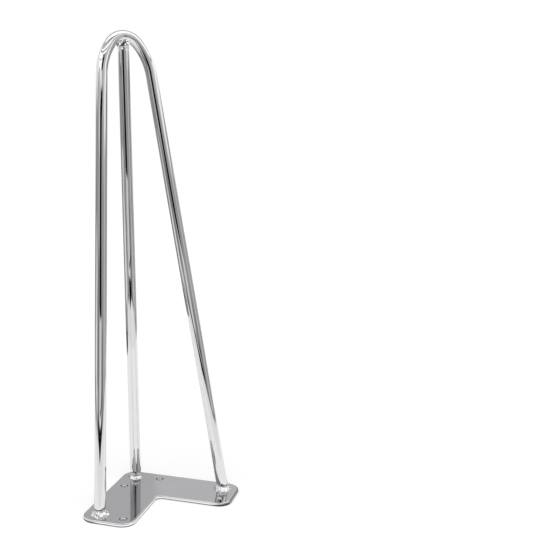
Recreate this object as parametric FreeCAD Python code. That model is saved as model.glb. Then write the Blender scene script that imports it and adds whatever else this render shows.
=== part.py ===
import FreeCAD, Part
import math
import os

# Hairpin table leg of three round rods on an L-shaped plate, in millimetres.
# It is plated all over, and stands here on its plate with the bend up. In use the
# plate is screwed under a table's corner and the bend stands on the floor.
# The origin is on the mounting face, under the foot of the corner rod. +Z runs from
# the mounting face to the bend, +Y points to the table's corner, and the leg is the
# same on both sides of x = 0.

# Whole leg
overall_height = 406.0        # mounting face to the crown of the bend

# Rods
rod_diameter = 10.0
crown_radius = 16.0           # middle of the bend, on the rod's centreline
crown_half_angle = 52.7       # degrees, how far the crown's curve reaches each side
shoulder_radius = 54.0        # wider curves between the crown and the straight legs
cope_depth = 1.5              # how far the corner rod's end reaches up round the bend

# Plate
arm_length = 110.0            # outer edge of each arm, from the square corner
arm_width = 46.0
plate_thickness = 3.0
outer_corner_radius = 12.0
inner_corner_radius = 6.0
top_edge_radius = 1.2
bottom_edge_radius = 0.4

# Feet of the rods on the plate, measured in from its edges
corner_rod_inset = 12.5       # from both outer edges
arm_rod_inset = 13.5          # from an arm's outer edge and from its end

# Upper ends of the rods
crown_inset = 3.0             # crown's centreline, inside the lines of both outer edges
corner_rod_lead = 1.1         # corner rod's top, outwards from the crown's centreline

# Screw holes, the same margin from the two nearest plate edges
screw_hole_diameter = 6.5
screw_hole_margin = 10.5
screw_hole_edge_radius = 0.4

# Weld beads, measured from the rod's surface
plate_weld_size = 2.4
bend_weld_size = 2.4

V = FreeCAD.Vector
UP = V(0, 0, 1)
ROOT_TWO = math.sqrt(2)
TOLERANCE = 1e-6
rod_radius = rod_diameter / 2


def on_plate(right, left, height=0.0):
    """A point given by its distances from the square corner along the two outer edges."""
    corner_y = corner_rod_inset * ROOT_TWO
    return V((right - left) / ROOT_TWO, corner_y - (right + left) / ROOT_TWO, height)


def rod_feet():
    """Centres of the rods on the plate's upper face: corner, right and left."""
    near = arm_rod_inset
    far = arm_length - arm_rod_inset
    corner = on_plate(corner_rod_inset, corner_rod_inset, plate_thickness)
    right = on_plate(far, near, plate_thickness)
    left = on_plate(near, far, plate_thickness)
    return corner, right, left


def crown_centre():
    """Highest point of the bend's centreline."""
    return on_plate(crown_inset, crown_inset, overall_height - rod_radius)


def above_plate(shape):
    """What is left of a shape above the plate's upper face."""
    box = shape.BoundBox
    room = rod_diameter
    bottom = box.ZMin - room
    corner = V(box.XMin - room, box.YMin - room, bottom)
    block = Part.makeBox(box.XLength + 2 * room, box.YLength + 2 * room, plate_thickness - bottom, corner)
    return shape.cut(block)


def bend_path():
    """Centreline of the hairpin, run on past both feet by one rod diameter.

    It lies in a leaning plane: x is measured across from the middle, and y up the
    plane from the line between the two feet. Each shoulder's curve carries on from the
    crown's, and the straight leg is the line from the foot that just touches it.
    """
    _, right, left = rod_feet()
    middle = (right + left) * 0.5
    upward = crown_centre() - middle
    rise = upward.Length
    upward.normalize()
    foot_x = (right - left).Length / 2

    half = math.radians(crown_half_angle)
    crown_y = rise - crown_radius
    shoulder_x = (crown_radius - shoulder_radius) * math.sin(half)
    shoulder_y = crown_y + (crown_radius - shoulder_radius) * math.cos(half)
    foot_distance = math.hypot(foot_x - shoulder_x, shoulder_y)
    foot_angle = math.atan2(shoulder_y, foot_x - shoulder_x)
    slope = math.acos(shoulder_radius / foot_distance) - foot_angle
    leg_length = foot_distance * math.sin(slope + foot_angle) + rod_diameter

    def place(x, y):
        return middle + V(x, 0, 0) + upward * y

    def on_crown(angle):
        return place(crown_radius * math.sin(angle), crown_y + crown_radius * math.cos(angle))

    def on_shoulder(side, angle):
        x = shoulder_x + shoulder_radius * math.sin(angle)
        return place(side * x, shoulder_y + shoulder_radius * math.cos(angle))

    touch = math.pi / 2 - slope
    halfway = (half + touch) / 2

    def leg_end(side):
        downward = V(side * math.sin(slope), 0, 0) - upward * math.cos(slope)
        return on_shoulder(side, touch) + downward * leg_length

    pieces = [
        Part.LineSegment(leg_end(-1), on_shoulder(-1, touch)),
        Part.Arc(on_shoulder(-1, touch), on_shoulder(-1, halfway), on_shoulder(-1, half)),
        Part.Arc(on_crown(-half), on_crown(0), on_crown(half)),
        Part.Arc(on_shoulder(1, half), on_shoulder(1, halfway), on_shoulder(1, touch)),
        Part.LineSegment(on_shoulder(1, touch), leg_end(1)),
    ]
    return Part.Wire([piece.toShape() for piece in pieces])


def hairpin_rod():
    """One bar bent into a hairpin, its two ends cut flush on the plate."""
    path = bend_path()
    first = path.Edges[0]
    start = first.valueAt(first.FirstParameter)
    heading = first.tangentAt(first.FirstParameter)
    section = Part.Wire(Part.makeCircle(rod_radius, start, heading))
    return above_plate(path.makePipeShell([section], True, False))


def corner_rod_axis():
    """Foot and upper end of the corner rod's axis."""
    foot = rod_feet()[0]
    crown = crown_centre()
    top = V(crown.x, crown.y + corner_rod_lead, overall_height - rod_diameter)
    return foot, top


def corner_rod(hairpin):
    """A straight bar whose upper end is coped to sit under the bend."""
    foot, top = corner_rod_axis()
    along = top - foot
    bar_length = along.Length + rod_diameter + cope_depth
    along.normalize()
    bar = Part.makeCylinder(rod_radius, bar_length, foot - along * rod_diameter, along)
    return above_plate(bar).cut(hairpin)


def upright_edges(plate, points):
    """The plate's upright edges that stand on the given points."""
    spots = Part.Compound([Part.Vertex(point) for point in points])
    upright = [edge for edge in plate.Edges if edge.BoundBox.ZLength > TOLERANCE]
    return [edge for edge in upright if edge.distToShape(spots)[0] < TOLERANCE]


def level_edges(plate, height, closed):
    """Edges at one height: the rims of the holes if closed, or else the border."""
    level = [
        edge for edge in plate.Edges
        if abs(edge.BoundBox.ZMin - height) < TOLERANCE and abs(edge.BoundBox.ZMax - height) < TOLERANCE
    ]
    return [edge for edge in level if edge.isClosed() == closed]


def screw_holes():
    """Drills for two holes beside the corner rod and one near the end of each arm."""
    across = arm_width - screw_hole_margin
    end = arm_length - screw_hole_margin
    centres = [
        on_plate(across, screw_hole_margin),
        on_plate(screw_hole_margin, across),
        on_plate(end, across),
        on_plate(across, end),
    ]
    return [Part.makeCylinder(screw_hole_diameter / 2, plate_thickness, centre, UP) for centre in centres]


def mounting_plate():
    """L-shaped flat plate with rounded corners, four screw holes and softened edges."""
    between_arms = on_plate(arm_width, arm_width)
    right_arm = [on_plate(arm_length, 0), on_plate(arm_length, arm_width)]
    left_arm = [on_plate(arm_width, arm_length), on_plate(0, arm_length)]
    square_corner = on_plate(0, 0)
    outline = Part.makePolygon([square_corner] + right_arm + [between_arms] + left_arm + [square_corner])
    plate = Part.Face(outline).extrude(UP * plate_thickness)
    plate = plate.makeFillet(inner_corner_radius, upright_edges(plate, [between_arms]))
    outer_corners = [square_corner] + right_arm + left_arm
    plate = plate.makeFillet(outer_corner_radius, upright_edges(plate, outer_corners))
    for hole in screw_holes():
        plate = plate.cut(hole)
    plate = plate.makeFillet(top_edge_radius, level_edges(plate, plate_thickness, False))
    plate = plate.makeFillet(screw_hole_edge_radius, level_edges(plate, plate_thickness, True))
    return plate.makeFillet(bottom_edge_radius, level_edges(plate, 0, False))


def plate_weld(foot, rod):
    """Bead round one rod where it stands on the plate."""
    bead = Part.makeTorus(rod_radius, plate_weld_size, foot, UP)
    return above_plate(bead).cut(rod)


def bend_weld(rod, hairpin):
    """Bead round the corner rod's upper end, run on to the underside of the bend."""
    foot, top = corner_rod_axis()
    bead = Part.makeTorus(rod_radius, bend_weld_size, top, top - foot)
    return bead.cut(rod).cut(hairpin)


def main():
    hairpin = hairpin_rod()
    straight = corner_rod(hairpin)
    corner_foot, right_foot, left_foot = rod_feet()
    parts = {
        "hairpin_rod": hairpin,
        "corner_rod": straight,
        "mounting_plate": mounting_plate(),
        "corner_weld": plate_weld(corner_foot, straight),
        "right_weld": plate_weld(right_foot, hairpin),
        "left_weld": plate_weld(left_foot, hairpin),
        "bend_weld": bend_weld(straight, hairpin),
    }
    os.makedirs("parts", exist_ok=True)
    for name, shape in parts.items():
        shape.exportStep(f"parts/{name}.step")


main()
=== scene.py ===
import math

import bmesh
import bpy
from mathutils import Matrix, Vector, noise
from mathutils.bvhtree import BVHTree


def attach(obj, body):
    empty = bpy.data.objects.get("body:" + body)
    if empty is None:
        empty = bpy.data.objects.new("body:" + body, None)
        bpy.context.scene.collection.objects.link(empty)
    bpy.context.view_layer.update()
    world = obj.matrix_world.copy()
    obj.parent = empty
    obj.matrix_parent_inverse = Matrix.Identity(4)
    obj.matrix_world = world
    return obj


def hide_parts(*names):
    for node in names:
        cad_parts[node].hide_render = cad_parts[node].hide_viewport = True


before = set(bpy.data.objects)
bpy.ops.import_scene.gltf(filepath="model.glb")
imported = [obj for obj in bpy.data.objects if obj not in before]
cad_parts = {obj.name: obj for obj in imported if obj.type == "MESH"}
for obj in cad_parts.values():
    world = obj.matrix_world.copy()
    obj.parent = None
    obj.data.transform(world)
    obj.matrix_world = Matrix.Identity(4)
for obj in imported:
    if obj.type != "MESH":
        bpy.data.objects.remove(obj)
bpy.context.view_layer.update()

# Mounting plate. The real piece is flat steel sheet, cut to an L with rounded corners,
# with four plain screw holes, polished until its edges soften, and chrome plated.
# The rods are welded on its upper face, and its lower face goes against the table.


class Shade:
    """A socket of a shader tree. Arithmetic on it adds the Math nodes that it needs."""

    def __init__(self, tree, socket=None):
        self.tree = tree
        self.socket = socket

    def node(self, kind, settings=None, inputs=None, output=0):
        """A new node: its settings are made first, then its sockets' values or links."""
        made = self.tree.nodes.new(kind)
        for name, value in (settings or {}).items():
            if name == "stops":
                set_stops(made.color_ramp, value)
            else:
                setattr(made, name, value)
        for name, value in (inputs or {}).items():
            if isinstance(value, Shade):
                self.tree.links.new(value.socket, made.inputs[name])
            else:
                made.inputs[name].default_value = value
        return Shade(self.tree, made.outputs[output])

    def maths(self, operation, *values):
        return self.node("ShaderNodeMath", {"operation": operation}, dict(enumerate(values)))

    def blend(self, factor, first, second):
        inputs = {"Factor": factor, "A": first, "B": second}
        return self.node("ShaderNodeMix", {"data_type": "RGBA"}, inputs, output=2)

    def axes(self):
        """The three numbers of a place."""
        parts = self.tree.nodes.new("ShaderNodeSeparateXYZ")
        self.tree.links.new(self.socket, parts.inputs[0])
        return [Shade(self.tree, parts.outputs[axis]) for axis in "XYZ"]

    def __abs__(self):
        return self.maths("ABSOLUTE", self)

    def __add__(self, other):
        return self.maths("ADD", self, other)

    def __radd__(self, other):
        return self.maths("ADD", other, self)

    def __sub__(self, other):
        return self.maths("SUBTRACT", self, other)

    def __rsub__(self, other):
        return self.maths("SUBTRACT", other, self)

    def __mul__(self, other):
        return self.maths("MULTIPLY", self, other)

    def __rmul__(self, other):
        return self.maths("MULTIPLY", other, self)

    def __truediv__(self, other):
        return self.maths("DIVIDE", self, other)


def set_stops(ramp, stops):
    """Gives a colour ramp its grey stops, as pairs of place and brightness."""
    while len(ramp.elements) < len(stops):
        ramp.elements.new(1.0)
    for element, (place, grey) in zip(ramp.elements, stops):
        element.position = place
        element.color = (grey, grey, grey, 1)


def smooth_step(value, low, high):
    """Zero below one limit and one above the other, with a soft change between them."""
    return value.node(
        "ShaderNodeMapRange",
        {"interpolation_type": "SMOOTHSTEP"},
        {"Value": value, "From Min": low, "From Max": high},
    )


def under(value, low, high):
    """One below one limit and zero above the other, with a soft change between them."""
    return 1 - smooth_step(value, low, high)


def larger(first, second):
    """The larger of two values, which joins two masks."""
    return first.maths("MAXIMUM", first, second)


def apart_by(aside, ahead):
    """How long a step is that goes so far aside and so far ahead."""
    return aside.maths("POWER", aside * aside + ahead * ahead, 0.5)


def new_material(name):
    """An empty material, with a Shade to build on and its Principled shader."""
    material = bpy.data.materials.new(name)
    material.use_nodes = True
    return material, Shade(material.node_tree), material.node_tree.nodes["Principled BSDF"]


def feed(tree, shader, **values):
    """Joins values to a shader's sockets, whose names have spaces for underscores."""
    for name, value in values.items():
        tree.links.new(value.socket, shader.inputs[name.replace("_", " ")])


# The colour of a painted highlight, laid on the plate's sides.
painted_highlight_colour = (0.94, 0.94, 0.95, 1)
smudged_share = 0.96
# How dark the colour grows where duller parts and painted shade lie, and how much rougher the duller parts
# are.
dull_and_painted_dark_share = 0.10
dull_haze = 0.2
line_haze = 0.02


def plated_steel(name, colour, haze, smudge, wave_size, wave_depth, line_depth, line_scale, dullness_and_painted_light=None):
    """Chrome plating: clear or hazy, a little uneven below, with faint polishing lines.

    Its last argument, where given, makes masks of duller parts and of painted shade, which darken the
    colour, and of a painted highlight, which lightens it.
    """
    material, shade, shader = new_material(name)
    place = shade.node("ShaderNodeTexCoord", output="Object")
    cloud = shade.node(
        "ShaderNodeTexNoise",
        inputs={"Vector": place, "Scale": 45.0, "Detail": 4.0, "Roughness": 0.6},
    )
    wiped = shade.node("ShaderNodeValToRGB", {"stops": [(0.42, 0.0), (0.68, 1.0)]}, {"Fac": cloud})
    wave = shade.node("ShaderNodeTexNoise", inputs={"Vector": place, "Scale": 1 / wave_size, "Detail": 1.0})
    stretched = shade.node("ShaderNodeMapping", inputs={"Vector": place, "Scale": line_scale})
    lines = shade.node("ShaderNodeTexNoise", inputs={"Vector": stretched, "Scale": 1.0, "Detail": 3.0})
    tone = shade.blend(wiped * 0.5, (*colour, 1), (*[part * smudged_share for part in colour], 1))
    rough = wiped * smudge + lines * line_haze + haze
    if dullness_and_painted_light is not None:
        # A painted highlight lightens the colour, and painted shade with duller parts darkens it and makes
        # it rougher.
        dull_and_painted_dark, painted_highlight = dullness_and_painted_light(shade, place)
        tone = shade.blend(painted_highlight, tone, painted_highlight_colour)
        tone = shade.blend(dull_and_painted_dark, tone, (*[part * dull_and_painted_dark_share for part in colour], 1))
        rough = rough + dull_and_painted_dark * dull_haze
    swell = shade.node("ShaderNodeBump", inputs={"Height": wave, "Strength": 1.0, "Distance": wave_depth})
    grain = shade.node(
        "ShaderNodeBump",
        inputs={"Height": lines, "Strength": 1.0, "Distance": line_depth, "Normal": swell},
    )
    shader.inputs["Metallic"].default_value = 1.0
    feed(shade.tree, shader, Base_Color=tone, Roughness=rough, Normal=grain)
    return material


hole_places = ((0.01768, -0.01485), (0.04526, -0.07778))
hole_wall = 0.00335
arm_end = 0.0975
upper_edge = 0.00297


def plate_dullness_and_painted_light(shade, place):
    """Masks of duller drilled walls and of painted shade on the hole sides, lower edges and right arm's end,
    and of a painted highlight on the sides.
    """
    across, along, up = place.axes()

    # A hole's wall is a little darker and rougher all round, and painted shade darkens it most at its left
    # and right, as they are seen from the camera.
    drilled, hole_sides = 0, 0
    for side in (1, -1):
        for x, y in hole_places:
            aside, ahead = across - side * x, along - y
            inside = under(apart_by(aside, ahead), hole_wall, hole_wall + 0.0001)
            drilled = drilled + inside
            hole_sides = hole_sides + inside * smooth_step(abs(aside * 0.9 - ahead * 0.43), 0.0020, 0.0028)

    # Painted shade darkens the right arm's flat end, which catches no light, and the plate's lower edge,
    # and it reaches higher on the lower edge where the plate rounds the far corners and the way to that end.
    end = (across - along) * math.sqrt(0.5)
    flat_end = smooth_step(end, arm_end - 0.0009, arm_end - 0.0005)
    round_end = smooth_step(end, arm_end - 0.007, arm_end - 0.004) * under(up, 0.0022, 0.0027)
    far_corner = smooth_step(abs(across), 0.064, 0.071) * 0.7
    rounding = larger(far_corner, smooth_step(end, arm_end - 0.018, arm_end - 0.006))
    rounding = rounding * (1 - flat_end) * (1 - drilled)
    low_edge = under(up - rounding * 0.0009, 0.0007, 0.0013)
    dull_and_painted_dark = larger(drilled * 0.10 + hole_sides * 0.8, low_edge * (rounding * 0.12 + 0.88))
    dull_and_painted_dark = larger(dull_and_painted_dark, flat_end * 0.80)
    dull_and_painted_dark = larger(dull_and_painted_dark, round_end * (1 - flat_end) * 0.80)
    # The second mask is a painted highlight over the plate's sides, fading out over its rounded top edge,
    # and not in the holes.
    return dull_and_painted_dark, (1 - drilled) * under(up, 0.0025, upper_edge)


# The plate's finish carries painted shade on its lower edge, its right arm's end and its hole sides, and a
# painted highlight on its sides.
plate_finish = plated_steel(
    "plated_plate",
    colour=(0.69, 0.685, 0.705),
    haze=0.07,
    smudge=0.03,
    wave_size=0.018,
    wave_depth=0.00001,
    line_depth=0.0000004,
    line_scale=(900.0, 90.0, 90.0),
    dullness_and_painted_light=plate_dullness_and_painted_light,
)
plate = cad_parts["mounting_plate"]
for material_slot in plate.material_slots:
    material_slot.material = plate_finish

# Hairpin rod. The real piece is one drawn steel bar, bent cold round a former into a
# tight crown with wider shoulders, so that its two legs spread to the plate's arms.
# Its ends are cut flush and welded on the plate, and it is plated with the rest.

rod_finish = plated_steel(
    "plated_rod",
    colour=(0.765, 0.765, 0.775),
    haze=0.02,
    smudge=0.02,
    wave_size=0.03,
    wave_depth=0.00001,
    line_depth=0.0000003,
    line_scale=(120.0, 120.0, 1500.0),
)
plate_thickness = 0.003
rod_radius = 0.005
rod_sides = 96
crown_steps = 28
shoulder_steps = 24
straight_steps = 48
arm_foot = Vector((0.05869, -0.06010, plate_thickness))
crown_top = Vector((0.0, 0.013435, 0.401))
crown_radius = 0.016
crown_half_angle = math.radians(52.7)
shoulder_radius = 0.054

# In the hairpin's own leaning plane, x runs across and y runs up from between its feet.
rise_vector = crown_top - Vector((0.0, arm_foot.y, arm_foot.z))
rise = rise_vector.length
crown_centre = Vector((0.0, rise - crown_radius, 0.0))
shoulder_centre = crown_centre + Vector((math.sin(crown_half_angle), math.cos(crown_half_angle), 0.0)) * (
    crown_radius - shoulder_radius
)
foot_offset = Vector((arm_foot.x, 0.0, 0.0)) - shoulder_centre
leg_slope = math.acos(shoulder_radius / foot_offset.length) - math.atan2(-foot_offset.y, foot_offset.x)
leg_length = math.sqrt(foot_offset.length_squared - shoulder_radius**2)
leg_direction = Vector((math.sin(leg_slope), -math.cos(leg_slope), 0.0))
shoulder_angle = math.pi / 2 - leg_slope - crown_half_angle


def drawn_out(mesh, ring, direction, length, steps):
    """Extrudes an open ring of edges along a straight line and returns the new end ring."""
    for _ in range(steps):
        made = bmesh.ops.extrude_edge_only(mesh, edges=ring)["geom"]
        ring = [part for part in made if isinstance(part, bmesh.types.BMEdge)]
        corners = [part for part in made if isinstance(part, bmesh.types.BMVert)]
        bmesh.ops.translate(mesh, verts=corners, vec=direction * length / steps)
    return ring


def bent_round(mesh, ring, centre, angle, steps):
    """Spins a ring of edges round a centre in the hairpin's plane, and returns the end ring."""
    made = bmesh.ops.spin(mesh, geom=ring, cent=centre, axis=(0, 0, 1), angle=angle, steps=steps)
    return [part for part in made["geom_last"] if isinstance(part, bmesh.types.BMEdge)]


def closed_below(mesh, level):
    """Cuts a mesh off level at the given height and closes it with flat faces."""
    everything = list(mesh.verts) + list(mesh.edges) + list(mesh.faces)
    bmesh.ops.bisect_plane(
        mesh, geom=everything, plane_co=(0, 0, level), plane_no=(0, 0, 1), clear_inner=True
    )
    bmesh.ops.holes_fill(mesh, edges=[edge for edge in mesh.edges if edge.is_boundary])


def finished_piece(name, mesh, material, node):
    """Makes a smooth, outward-facing object that rides on the leg in place of a CAD node."""
    bmesh.ops.remove_doubles(mesh, verts=mesh.verts, dist=0.0000005)
    bmesh.ops.recalc_face_normals(mesh, faces=mesh.faces)
    for face in mesh.faces:
        face.smooth = len(face.verts) < 5
    data = bpy.data.meshes.new(name)
    mesh.to_mesh(data)
    mesh.free()
    data.materials.append(material)
    piece = bpy.data.objects.new(name, data)
    bpy.context.collection.objects.link(piece)
    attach(piece, "root")
    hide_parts(node)


bar = bmesh.new()
sideways = Matrix.Rotation(math.pi / 2, 4, "Y")
bmesh.ops.create_circle(bar, segments=rod_sides, radius=rod_radius, matrix=sideways)
bmesh.ops.translate(bar, verts=bar.verts, vec=(0, rise, 0))
ring = bent_round(bar, list(bar.edges), crown_centre, -crown_half_angle, crown_steps)
ring = bent_round(bar, ring, shoulder_centre, -shoulder_angle, shoulder_steps)
drawn_out(bar, ring, leg_direction, leg_length + 2 * rod_radius, straight_steps)
half = list(bar.verts) + list(bar.edges) + list(bar.faces)
bmesh.ops.mirror(bar, geom=half, axis="X", merge_dist=0.000001)
lean_back = Matrix.Rotation(math.atan2(rise_vector.z, rise_vector.y), 4, "X")
bmesh.ops.transform(bar, matrix=Matrix.Translation((0, arm_foot.y, arm_foot.z)) @ lean_back, verts=bar.verts)
closed_below(bar, plate_thickness)
bend_surface = BVHTree.FromBMesh(bar)
finished_piece("bent_bar", bar, rod_finish, "hairpin_rod")

# Corner rod. The real piece is a straight length of the same bar. It stands on the
# plate's corner, and its upper end is shaped to sit against the underside of the bend.

corner_foot = Vector((0.0, 0.0, plate_thickness))
corner_top = Vector((0.0, 0.014535, 0.396))
cope_depth = 0.0015

post = bmesh.new()
corner_axis = corner_top - corner_foot
bmesh.ops.create_circle(post, segments=rod_sides, radius=rod_radius)
bmesh.ops.translate(post, verts=post.verts, vec=(0, 0, -2 * rod_radius))
post_length = corner_axis.length + 2 * rod_radius
ring = drawn_out(post, list(post.edges), Vector((0, 0, 1)), post_length, straight_steps)
stand_up = corner_axis.to_track_quat("Z", "Y").to_matrix().to_4x4()
bmesh.ops.transform(post, matrix=Matrix.Translation(corner_foot) @ stand_up, verts=post.verts)
end_corners = {corner for edge in ring for corner in edge.verts}
upward = corner_axis.normalized()
for corner in end_corners:
    below = corner.co - upward * rod_radius
    _, _, _, distance = bend_surface.ray_cast(below, upward, 2 * rod_radius)
    reach = cope_depth if distance is None else min(distance - rod_radius, cope_depth)
    corner.co += upward * reach
bmesh.ops.holes_fill(post, edges=ring)
closed_below(post, plate_thickness)
finished_piece("corner_post", post, rod_finish, "corner_rod")

# Weld beads. The real beads are run round each rod by hand, in short overlapping puddles,
# and are plated over without being ground, so they stay lumpy and catch the light.

weld_look = {
    "colour": (0.96, 0.96, 0.96),
    "haze": 0.035,
    "smudge": 0.04,
    "wave_size": 0.0020,
    "wave_depth": 0.00003,
    "line_depth": 0.0000003,
    "line_scale": (900.0, 900.0, 900.0),
}
weld_finish = plated_steel("plated_weld", **weld_look)
bead_steps = 180
bead_inner = rod_radius * 0.88
least_swell = 0.3


def spun_bead(outline):
    """A closed ring round an upright rod, from an outline of distances out and heights."""
    bead = bmesh.new()
    corners = [bead.verts.new((out, 0, up)) for out, up in outline]
    edges = [bead.edges.new((corners[i - 1], corners[i])) for i in range(len(corners))]
    bmesh.ops.spin(
        bead,
        geom=corners + edges,
        cent=(0, 0, 0),
        axis=(0, 0, 1),
        angle=2 * math.pi,
        steps=bead_steps,
        use_merge=True,
    )
    return bead


def grain_of(angle, height, coarse, seed):
    """Uneven swelling of molten metal at a place on a bead, about zero."""
    spot = Vector((math.cos(angle) * coarse, math.sin(angle) * coarse, height * 500 + seed))
    return noise.noise(spot) + 0.5 * noise.noise(spot * 2.3)


fillet_steps = 16
fillet_turns = [math.pi / 2 * step / fillet_steps for step in range(fillet_steps + 1)]

# Each row is one bead: its node, its rod's foot and head, its size, how hollow its slope is,
# its number of puddles, how lumpy it is, and a seed for the lumps.
for node, foot, head, size, hollow, puddles, lumps, seed in (
    ("corner_weld", corner_foot, corner_top, 0.0019, 1.9, 11, 0.12, 1.7),
    ("right_weld", arm_foot, crown_top, 0.0029, 2.0, 9, 0.26, 4.2),
    ("left_weld", arm_foot * Vector((-1, 1, 1)), crown_top, 0.0029, 2.0, 7, 0.60, 7.9),
):
    slope = [(size * math.cos(turn) ** hollow, size * math.sin(turn) ** hollow) for turn in fillet_turns]
    outline = [(rod_radius + out, up) for out, up in slope]
    bead = spun_bead([(bead_inner, 0.0)] + outline + [(bead_inner, size)])
    for corner in bead.verts:
        out = math.hypot(corner.co.x, corner.co.y)
        if out > bead_inner * 1.001:
            angle = math.atan2(corner.co.y, corner.co.x)
            ripple = abs(math.sin(angle * puddles / 2 + seed)) ** 0.6
            swell = 0.85 + 0.15 * ripple + lumps * grain_of(angle, corner.co.z, 2.5, seed)
            swell = max(swell, least_swell)
            grown = (rod_radius + (out - rod_radius) * swell) / out
            corner.co.x *= grown
            corner.co.y *= grown
            corner.co.z *= swell
    axis = head - foot
    for corner in bead.verts:
        corner.co += Vector((axis.x, axis.y, 0)) * (corner.co.z / axis.z)
    bmesh.ops.translate(bead, verts=bead.verts, vec=foot)
    finished_piece(node.replace("weld", "bead"), bead, weld_finish, node)

# Bend weld. The real one holds the corner rod's shaped end under the bend. It is two or
# three heavy puddles close under the bar, with gaps between, and a low collar below.


def crevice_painted_shade(shade, place):
    """Masks of painted shade in the narrow gaps between the puddles, close to the bar, where the finish is
    also rougher, and of no painted highlight.
    """
    across, along, up = place.axes()
    off_axis = along - (up - plate_thickness) * (corner_axis.y / corner_axis.z)
    return under(apart_by(across, off_axis), rod_radius + 0.0002, rod_radius + 0.0006), 0


# The bend weld's finish darkens the gaps between its puddles with painted shade.
bend_finish = plated_steel("plated_bend_weld", dullness_and_painted_light=crevice_painted_shade, **weld_look)
bead_low = -0.0062
bead_high = 0.0040
bead_levels = 48
bare_skin = -0.0002
levels = [bead_low + (bead_high - bead_low) * step / bead_levels for step in range(bead_levels + 1)]
skin = [(rod_radius, level) for level in levels]
bead = spun_bead([(bead_inner, bead_low)] + skin + [(bead_inner, bead_high)])
for corner in bead.verts:
    out = math.hypot(corner.co.x, corner.co.y)
    if out > bead_inner * 1.001:
        angle = math.atan2(corner.co.y, corner.co.x)
        thick = bare_skin

        # Each row is one puddle: its turn and level, width and height, slant, and thickness.
        for turn, level, width, height, slant, heap in (
            (95, -0.0046, 32, 0.0009, 0.0, 0.0010),
            (44, -0.0012, 24, 0.0016, 0.00006, 0.0021),
            (122, 0.0001, 27, 0.0026, 0.0, 0.0024),
            (71, -0.0025, 19, 0.0014, 0.00010, 0.0004),
            (-40, -0.0006, 36, 0.0026, 0.0, 0.0019),
            (-128, -0.0004, 38, 0.0028, 0.0, 0.0020),
        ):
            aside = (math.degrees(angle) - turn + 180) % 360 - 180
            far = (aside / width) ** 2 + ((corner.co.z - level - slant * aside) / height) ** 2
            thick += heap * math.exp(-far * far)
        thick += 0.00015 * grain_of(angle, corner.co.z, 2.0, 5.3)
        corner.co.x *= (rod_radius + thick) / out
        corner.co.y *= (rod_radius + thick) / out
bmesh.ops.transform(bead, matrix=Matrix.Translation(corner_top) @ stand_up, verts=bead.verts)
finished_piece("bend_bead", bead, bend_finish, "bend_weld")

# Floor. A plain white sweep that the leg stands on. It takes the leg's soft shadow, and a
# little light of its own, for the camera and in the chrome, brings it up to white.

floor_size = 8.0
floor_glow = 0.45


def seen_rays(shade):
    """One for rays of the lens, of shine and through glass, and nothing for other rays."""
    rays = shade.tree.nodes.new("ShaderNodeLightPath")
    kinds = ("Is Camera Ray", "Is Glossy Ray", "Is Transmission Ray")
    lens, glossy, through = [Shade(shade.tree, rays.outputs[kind]) for kind in kinds]
    return lens + glossy + through


floor_mesh = bmesh.new()
bmesh.ops.create_grid(floor_mesh, x_segments=1, y_segments=1, size=floor_size / 2)
floor_data = bpy.data.meshes.new("floor")
floor_mesh.to_mesh(floor_data)
floor_mesh.free()
floor = bpy.data.objects.new("floor", floor_data)
bpy.context.collection.objects.link(floor)
floor_material, shade, shader = new_material("white_sweep")
shader.inputs["Base Color"].default_value = (0.6, 0.6, 0.6, 1)
shader.inputs["Roughness"].default_value = 0.9
shader.inputs["Specular IOR Level"].default_value = 0.0
shader.inputs["Emission Color"].default_value = (1.0, 1.0, 1.0, 1)
feed(shade.tree, shader, Emission_Strength=seen_rays(shade) * floor_glow)
floor_data.materials.append(floor_material)

# Studio. The leg stands in a tall round light tent of cloth, grey low down and white
# above, with an upright gap in front for the lens, a pale roof, a dark hem of cloth on its floor,
# and two dark strips of painted shadow by the plate's arms. Only the chrome sees it.

camera_heading = math.radians(25.20)
tent_radius = 0.70
tent_height = 0.78
tent_sides = 128
tent_centre = Vector((0.0, -0.03, 0.0))
below_wall = -1.0
above_wall = 2.0


def cloth_piece(name, mesh, material):
    """A stage surface that the chrome reflects, and that neither lights nor shades."""
    data = bpy.data.meshes.new(name)
    mesh.to_mesh(data)
    mesh.free()
    data.materials.append(material)
    piece = bpy.data.objects.new(name, data)
    bpy.context.collection.objects.link(piece)
    piece.visible_camera = False
    piece.visible_diffuse = False
    piece.visible_shadow = False


def shining(name):
    """A material that only shines, still without its brightness, and its tree."""
    material, shade, shader = new_material(name)
    shade.tree.nodes.remove(shader)
    return material, shade


def shine(shade, brightness):
    """Gives a shining material its brightness."""
    glow = shade.node("ShaderNodeEmission", inputs={"Strength": brightness})
    shade.tree.links.new(glow.socket, shade.tree.nodes["Material Output"].inputs["Surface"])


def tent_place(shade):
    """How far a point lies to the camera's right, away from it and up, from the tent's centre."""
    place = shade.node("ShaderNodeTexCoord", output="Object")
    turned = shade.node(
        "ShaderNodeVectorRotate",
        {"rotation_type": "Z_AXIS"},
        {"Vector": place, "Center": tent_centre, "Angle": camera_heading},
    )
    right, away, up = turned.axes()
    return right, away - tent_centre.y, up


def band(value, low, high, soft):
    """One between two limits and nothing outside them, with soft edges."""
    half = soft / 2
    return smooth_step(value, low - half, low + half) - smooth_step(value, high - half, high + half)


def on_wall(turns, levels):
    """One on a part of the wall, whose turns and levels are both given as low, high and soft."""
    return band(angle, *turns) * band(up, *levels)


def laid(base, mask, tone):
    """Lays a patch of one brightness over another, where its mask is one."""
    return base + mask * (tone - base)


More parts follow.
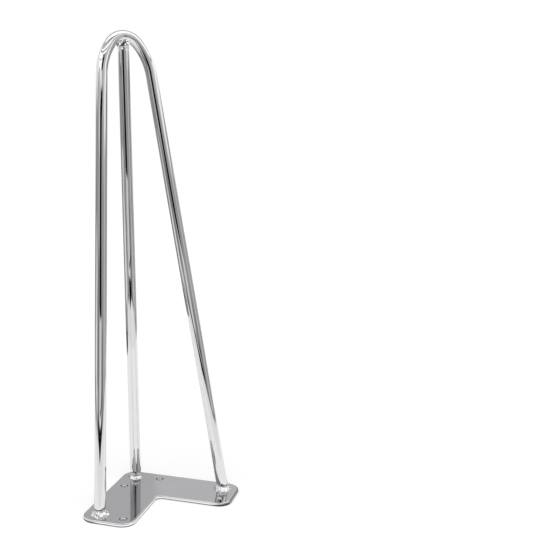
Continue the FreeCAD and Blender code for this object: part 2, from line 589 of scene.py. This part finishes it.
# The wall's turns are in degrees, zero toward the camera and rising to its right, and its
# levels are in metres. It is grey cloth, a little lighter at the far side.
cloth, shade = shining("tent_cloth")
right, away, up = tent_place(shade)
angle = shade.maths("ARCTAN2", right, 0 - away) * math.degrees(1)
sides = abs(angle)
folds = shade.node(
    "ShaderNodeTexNoise",
    {"noise_dimensions": "1D"},
    {"W": angle * 0.11, "Scale": 1.0, "Detail": 4.0},
)
wall = smooth_step(sides, 120, 150) * 0.16 + 0.38

# Each row is an upright pleat: its turn, half its width, and its tone.
for turn, width, tone in (
    (-95, 11, 0.29),
    (-72, 6, 0.42),
    (-46, 10, 0.52),
    (-58, 5, 0.36),
    (49, 5, 0.32),
    (57, 3, 0.52),
    (67, 5, 0.55),
    (80, 5, 0.62),
    (94, 5, 0.40),
    (124, 7, 0.60),
):
    wall = laid(wall, band(angle, turn - width, turn + width, width), tone)

# Each row is a panel low on the wall: its turns, its levels and its tone. Two dark ones
# stand in front, and a pale one with a grey seam at the left.
pale = 1.10 - smooth_step(up, 0.17, 0.25) * 0.40
for turns, levels, tone in (
    ((-36, 40, 8), (below_wall, 0.26, 0.04), 0.20),
    ((-52, -24, 8), (below_wall, 0.39, 0.06), 0.20),
    ((-104, -66, 4), (0.05, 0.32, 0.02), pale),
    ((-94, -84, 4), (0.03, 0.22, 0.02), 0.60),
):
    wall = laid(wall, on_wall(turns, levels), tone)

# Two parts at the left lie in shade, and the folds of the cloth run through all of these.
wall = wall * (1 - on_wall((-165, -106, 8), (below_wall, 0.35, 0.10)) * 0.28)
wall = wall * (1 - on_wall((-74, -55, 4), (0.08, 0.27, 0.03)) * 0.25)
wall = wall * (folds * 2.4 - 0.2)

# At the far side a grey panel, a little lighter in its right half, stands over a dark one.
far_tone = smooth_step(angle, 0, 1) * 0.08 + 0.53
wall = laid(wall, band(sides, 150, 200, 20) * band(up, 0.24, 0.44, 0.04), far_tone)
wall = laid(wall, band(sides, 150, 200, 8) * under(up, 0.19, 0.22), 0.06)

# White cloth hangs down from the roof. Its lower edge is higher toward the camera, and
# uneven at both sides.
white_edge = 0.60 + shade.maths("COSINE", angle * math.radians(1)) * 0.13
white_edge = white_edge - band(angle, 62, 96, 12) * 0.12 - band(angle, 44, 60, 6) * 0.17
white_edge = white_edge + band(angle, 95, 126, 8) * 0.04
white_edge = white_edge - band(angle, -150, -86, 12) * 0.06 - band(angle, -90, -62, 6) * 0.02
white = 1.15 - band(angle, -125, -22, 20) * 0.25 - band(angle, 32, 68, 10) * 0.45
wall = laid(wall, smooth_step(up - white_edge, -0.05, 0.03), white * (folds * 1.4 + 0.3))

# Each row is a patch on the white cloth or just under it: its turns, its levels and its tone.
pale_upward = smooth_step(up, 0.62, 0.66) * 0.75 + 0.40
for turns, levels, tone in (
    ((24, 72, 8), (0.645, above_wall, 0.03), 0.60),
    ((2, 28, 6), (0.725, above_wall, 0.01), 0.45),
    ((-58, -34, 6), (0.56, 0.655, 0.04), 0.74),
    ((70, 130, 20), (0.735, 0.765, 0.01), 0.45),
    ((-175, -142, 8), (0.50, 0.74, 0.03), 0.22),
    ((-60, -42, 8), (0.66, above_wall, 0.03), 0.48),
    ((-82, -64, 6), (0.58, above_wall, 0.04), pale_upward),
    ((124, 146, 8), (0.40, 0.50, 0.02), 0.22),
    ((102, 142, 8), (0.51, 0.60, 0.03), 0.95),
):
    wall = laid(wall, on_wall(turns, levels), tone)

# A light panel stands in front under the gap, brighter in its middle and darker at its right.
panel = 0.56 + band(angle, -12, 6, 8) * 0.26 - band(angle, 8, 24, 6) * 0.12
wall = laid(wall, on_wall((-30, 22, 4), (0.11, 0.31, 0.012)), panel)

# The gap for the lens is black. Its two edges lean to the left as they rise, and step
# to the right near its top.
gap_lean = smooth_step(up, 0.30, 0.50) * 7 + (up - 0.31) * 8
gap_top = smooth_step(up, 0.65, 0.71)
gap = smooth_step(angle + gap_lean - gap_top * 14, -22, -20)
gap = gap * under(angle + gap_lean * 0.8 - gap_top * 18, 13, 15)
wall = laid(wall, gap * band(up, 0.305, 0.725, 0.012), 0.004)

# A slanting light streak lies to the left of the light panel.
streak = up - angle * 0.0016
wall = laid(wall, band(streak, 0.175, 0.225, 0.03) * band(angle, -70, -48, 10), 0.60)

# The foot of the wall is white, with a grey part at the left. Its edge is highest in front,
# and a thin dark line, broken by the folds, runs over it.
foot_edge = 0.092 - (angle - 3) * (angle - 3) / 125000
wall = laid(wall, band(up - foot_edge, 0.006, 0.018, 0.008) * smooth_step(folds, 0.44, 0.52), 0.16)
wall = laid(wall, smooth_step(foot_edge - up, -0.009, 0.006), 0.92)
wall = laid(wall, on_wall((-115, -76, 6), (below_wall, 0.045, 0.03)), 0.36)

# In front lie a thin bright line, a dark one that slants, and a black notch with a point below.
wall = laid(wall, on_wall((-14, 6, 4), (0.131, 0.145, 0.004)), 1.05)
wall = laid(wall, band(angle, -6, 40, 8) * band(up - angle * 0.0006, 0.142, 0.156, 0.006), 0.06)
notch_edge = abs(angle + 9) * 0.0010
notch = smooth_step(up - notch_edge, 0.064, 0.072) * under(up, 0.123, 0.129)
wall = laid(wall, band(angle, -44, 24, 4) * notch, 0.003)
shine(shade, wall)
wall_mesh = bmesh.new()
bmesh.ops.create_cone(
    wall_mesh, segments=tent_sides, radius1=tent_radius, radius2=tent_radius, depth=tent_height
)
bmesh.ops.translate(wall_mesh, verts=wall_mesh.verts, vec=tent_centre + Vector((0, 0, tent_height / 2)))
cloth_piece("tent_wall", wall_mesh, cloth)

# The roof is white, with dark seams and a wide grey one in arcs round a point behind the leg.
roof_cloth, shade = shining("roof_cloth")
right, away = tent_place(shade)[:2]
seam = apart_by(right - 0.08, away - 0.30) - smooth_step(right, -0.1, 0.4) * 0.06
roof = 1.30 - band(seam, 0.75, 0.775, 0.01) * 0.75
slanted_seam = seam - right * 0.12
roof = laid(roof, band(slanted_seam, 0.640, 0.668, 0.012), 0.25)
roof = laid(roof, band(slanted_seam, 0.708, 0.745, 0.012) * smooth_step(right, -0.25, -0.1), 0.30)
arc = band(seam, 0.46, 0.56, 0.02) * under(right, 0.42, 0.50)
roof = laid(roof, arc, 0.55 - smooth_step(right, -0.3, 0.1) * 0.38)

# Its far part is dark, a grey piece lies toward the camera, and the lens's gap cuts into it.
roof = laid(roof, smooth_step(away, 0.27, 0.31) * smooth_step(right, -0.42, -0.34), 0.03)
roof = laid(roof, band(right, 0.25, 0.56, 0.05) * under(away, -0.50, -0.46), 0.60)
lens_gap = band(right, -0.085, 0.30, 0.04) * under(away + right * 0.3, -0.46, -0.42)
roof = laid(roof, lens_gap, 0.004)
shine(shade, roof)
roof_mesh = bmesh.new()
bmesh.ops.create_circle(roof_mesh, cap_ends=True, segments=tent_sides, radius=tent_radius)
bmesh.ops.translate(roof_mesh, verts=roof_mesh.verts, vec=tent_centre + Vector((0, 0, tent_height)))
cloth_piece("tent_roof", roof_mesh, roof_cloth)

# A dark hem lies on the floor at the wall, behind the leg to its right.
hem_turn = math.radians(122) + camera_heading
hem_start = 0.51
hem_half = 0.4
hem_lift = 0.001
dark_hem_and_painted_shadow, shade = shining("dark_hem_and_painted_shadow")
shine(shade, 0.10)
hem_mesh = bmesh.new()
bmesh.ops.create_grid(hem_mesh, x_segments=1, y_segments=1, size=hem_half)
bmesh.ops.translate(hem_mesh, verts=hem_mesh.verts, vec=(0, -hem_start - hem_half, hem_lift))
bmesh.ops.rotate(hem_mesh, verts=hem_mesh.verts, cent=(0, 0, 0), matrix=Matrix.Rotation(-hem_turn, 3, "Z"))
bmesh.ops.translate(hem_mesh, verts=hem_mesh.verts, vec=tent_centre)
cloth_piece("tent_hem", hem_mesh, dark_hem_and_painted_shadow)

# Two dark strips of painted shadow, standing for the leg's shade on the floor, lie along the far
# edges of the plate's arms. Each row gives the arm's side, and where along the arm its strip begins and
# ends.
arm_edge = 0.019
strip_width = 0.013
strip_lift = 0.0005
for name, side, near, far in (
    ("right_strip", 1, -arm_edge, 0.099),
    ("left_strip", -1, 0.026, 0.068),
):
    strip = bmesh.new()
    bmesh.ops.create_grid(strip, x_segments=1, y_segments=1, size=0.5)
    bmesh.ops.scale(strip, verts=strip.verts, vec=(far - near, strip_width, 1))
    middle = ((near + far) / 2, side * (arm_edge + strip_width / 2), strip_lift)
    bmesh.ops.translate(strip, verts=strip.verts, vec=middle)
    along_arm = Matrix.Rotation(side * math.pi / 4 - math.pi / 2, 3, "Z")
    bmesh.ops.rotate(strip, verts=strip.verts, cent=(0, 0, 0), matrix=along_arm)
    # The strips take the hem's dark material, here as painted shadow.
    cloth_piece(name, strip, dark_hem_and_painted_shadow)

# Light. A wide soft lamp stands high over the leg, in an even white room. The chrome doesn't
# show the lamp, and dull surfaces get half the light that the camera sees the room by.

lamp_data = bpy.data.lights.new("overhead", "SUN")
lamp_data.energy = 1.5
lamp_data.angle = math.radians(50)
lamp = bpy.data.objects.new("overhead", lamp_data)
lamp.rotation_euler = (math.radians(12), math.radians(-10), 0)
lamp.visible_glossy = False
bpy.context.collection.objects.link(lamp)

world = bpy.data.worlds.new("white_room")
world.use_nodes = True
bpy.context.scene.world = world
shade = Shade(world.node_tree)
ambient = 0.5
background = world.node_tree.nodes["Background"]
background.inputs["Color"].default_value = (1, 1, 1, 1)
feed(world.node_tree, background, Strength=seen_rays(shade) * (1 - ambient) + ambient)
bpy.context.scene.view_settings.view_transform = "Standard"

# Camera. It stands in front of the leg and to its left, above the middle, and looks a little
# down. Its lens is shifted, so that the leg stands in the left part of the picture.
# Its place is in metres, its turns in degrees, and its focal length and centre in pixels.

camera_position = Vector((-0.2932, -0.6799, 0.3036))
camera_tilt = math.radians(-8.58)
camera_roll = math.radians(-0.50)
image_width = 550
focal_length = 836.4
optical_centre = 160.0
sensor_width = 36.0
camera_data = bpy.data.cameras.new("camera")
camera_data.sensor_width = sensor_width
camera_data.lens = focal_length / image_width * sensor_width
camera_data.shift_x = (image_width / 2 - optical_centre) / image_width
camera_data.clip_start = 0.01
camera = bpy.data.objects.new("camera", camera_data)
turn = Matrix.Rotation(-camera_heading, 4, "Z") @ Matrix.Rotation(math.pi / 2 + camera_tilt, 4, "X")
camera.matrix_world = Matrix.Translation(camera_position) @ turn @ Matrix.Rotation(camera_roll, 4, "Z")
bpy.context.collection.objects.link(camera)
bpy.context.scene.camera = camera
